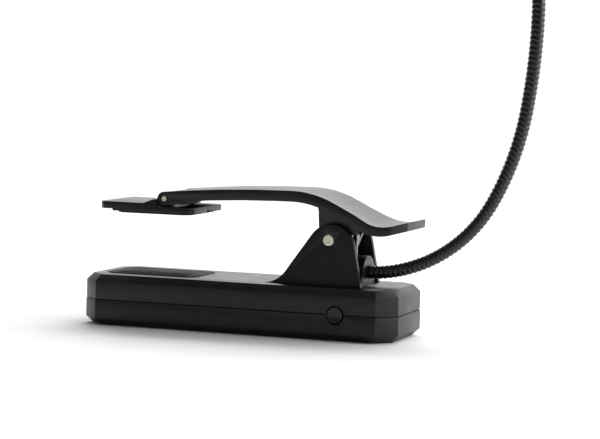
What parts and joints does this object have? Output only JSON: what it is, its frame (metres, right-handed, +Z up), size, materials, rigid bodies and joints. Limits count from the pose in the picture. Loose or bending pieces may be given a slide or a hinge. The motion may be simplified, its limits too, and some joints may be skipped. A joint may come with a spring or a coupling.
{
  "type": "clip-on reading lamp",
  "caption": "Battery reading lamp: a spring clip with a levelling pressure pad grips a board edge, and a bendable ribbed neck carries a flat LED head.",
  "frame": {"origin": "middle of the lower grip pad's top face, where the clamped board rests", "axes": "+X along the base towards the neck, +Y away from the push button, +Z up out of the lower jaw"},
  "size_m": [0.2076, 0.0504, 0.2395],
  "materials": {
    "case_abs": "moulded black ABS, fine spark-eroded grain",
    "button_abs": "moulded black ABS, smooth",
    "rubber_pad": "moulded black rubber",
    "nickel_pin": "nickel-plated steel, turned and riveted",
    "spring_steel": "bright drawn spring wire",
    "zinc_screw": "zinc-plated steel",
    "nickel_plate": "nickel-plated sheet steel",
    "cell_sleeve": "plain shrink sleeve",
    "lead_sleeve": "PVC sleeve",
    "board_green": "solder mask on glass epoxy",
    "component_black": "moulded epoxy",
    "plunger_white": "moulded nylon",
    "neck_black": "black-coated wound steel, spiral ribs",
    "collar_black": "black-coated turned steel",
    "diffuser_opal": "opal polycarbonate",
    "board_white": "white solder mask on aluminium",
    "led_yellow": "phosphor under silicone"
  },
  "bodies": {
    "base": {"upper_case": "case_abs", "lower_case": "case_abs", "lower_grip_pad": "rubber_pad", "battery_door": "case_abs", "battery_door_screw": "zinc_screw", "case_screws": "zinc_screw", "battery_cells": "cell_sleeve", "cell_springs": "spring_steel", "cell_plates": "nickel_plate", "battery_leads": "lead_sleeve", "circuit_board": "board_green", "board_screws": "zinc_screw", "driver_parts": "component_black", "tact_switch": "component_black", "main_pin": "nickel_pin", "torsion_spring": "spring_steel", "neck_ferrule": "collar_black", "neck_locknut": "zinc_screw", "lamp_lead": "lead_sleeve", "neck_root": "neck_black"},
    "lever": {"clip_lever": "case_abs", "pad_pin": "nickel_pin"},
    "pressure_pad": {"pad_plate": "case_abs", "pad_sole": "rubber_pad"},
    "button": {"button_cap": "button_abs", "button_plunger": "plunger_white"},
    "neck_1": {"neck_link_1": "neck_black"},
    "neck_2": {"neck_link_2": "neck_black"},
    "neck_3": {"neck_link_3": "neck_black"},
    "neck_4": {"neck_link_4": "neck_black"},
    "neck_5": {"neck_link_5": "neck_black"},
    "head": {"neck_link_6": "neck_black", "head_collar": "collar_black", "head_cover": "case_abs", "head_bezel": "case_abs", "head_diffuser": "diffuser_opal", "led_board": "board_white", "leds": "led_yellow", "head_screws": "zinc_screw", "head_lead": "lead_sleeve"}
  },
  "joints": [
    {"name": "lever_hinge", "type": "hinge", "parent": "base", "child": "lever", "pos_m": [0.0858, 0, 0.0199], "axis": [0, 1, 0], "range_deg": [-19.4, 7], "stiffness_Nm_per_rad": 1.2, "deforming": ["torsion_spring"]},
    {"name": "pad_tilt", "type": "hinge", "parent": "lever", "child": "pressure_pad", "pos_m": [0.0072, 0, 0.0349], "axis": [0, 1, 0], "range_deg": [-7, 19.4]},
    {"name": "button_press", "type": "slide", "parent": "base", "child": "button", "axis": [0, 1, 0], "range_m": [0, 0.0008], "stiffness_N_per_m": 400, "springref_m": -0.0004},
    {"name": "neck_bend_1", "type": "hinge", "parent": "base", "child": "neck_1", "pos_m": [0.12438, 0, 0.01005], "axis": [0, 1, 0], "range_deg": [-25, 25]},
    {"name": "neck_turn_2", "type": "hinge", "parent": "neck_1", "child": "neck_2", "pos_m": [0.15703, 0, 0.03971], "axis": [-0.8829, 0, 0.4695], "range_deg": [-35, 35]},
    {"name": "neck_bend_3", "type": "hinge", "parent": "neck_2", "child": "neck_3", "pos_m": [0.17047, 0, 0.07931], "axis": [0, -1, 0], "range_deg": [-25, 25]},
    {"name": "neck_turn_4", "type": "hinge", "parent": "neck_3", "child": "neck_4", "pos_m": [0.17431, 0, 0.12109], "axis": [-0.9998, 0, 0.0175], "range_deg": [-35, 35]},
    {"name": "neck_bend_5", "type": "hinge", "parent": "neck_4", "child": "neck_5", "pos_m": [0.16897, 0, 0.16462], "axis": [0, 1, 0], "range_deg": [-30, 30]},
    {"name": "neck_turn_6", "type": "hinge", "parent": "neck_5", "child": "head", "pos_m": [0.14253, 0, 0.20101], "axis": [-0.5446, 0, -0.8387], "range_deg": [-35, 35]}
  ],
  "couplings": [
    {"joint": "pad_tilt", "follows": "lever_hinge", "ratio": -1}
  ]
}
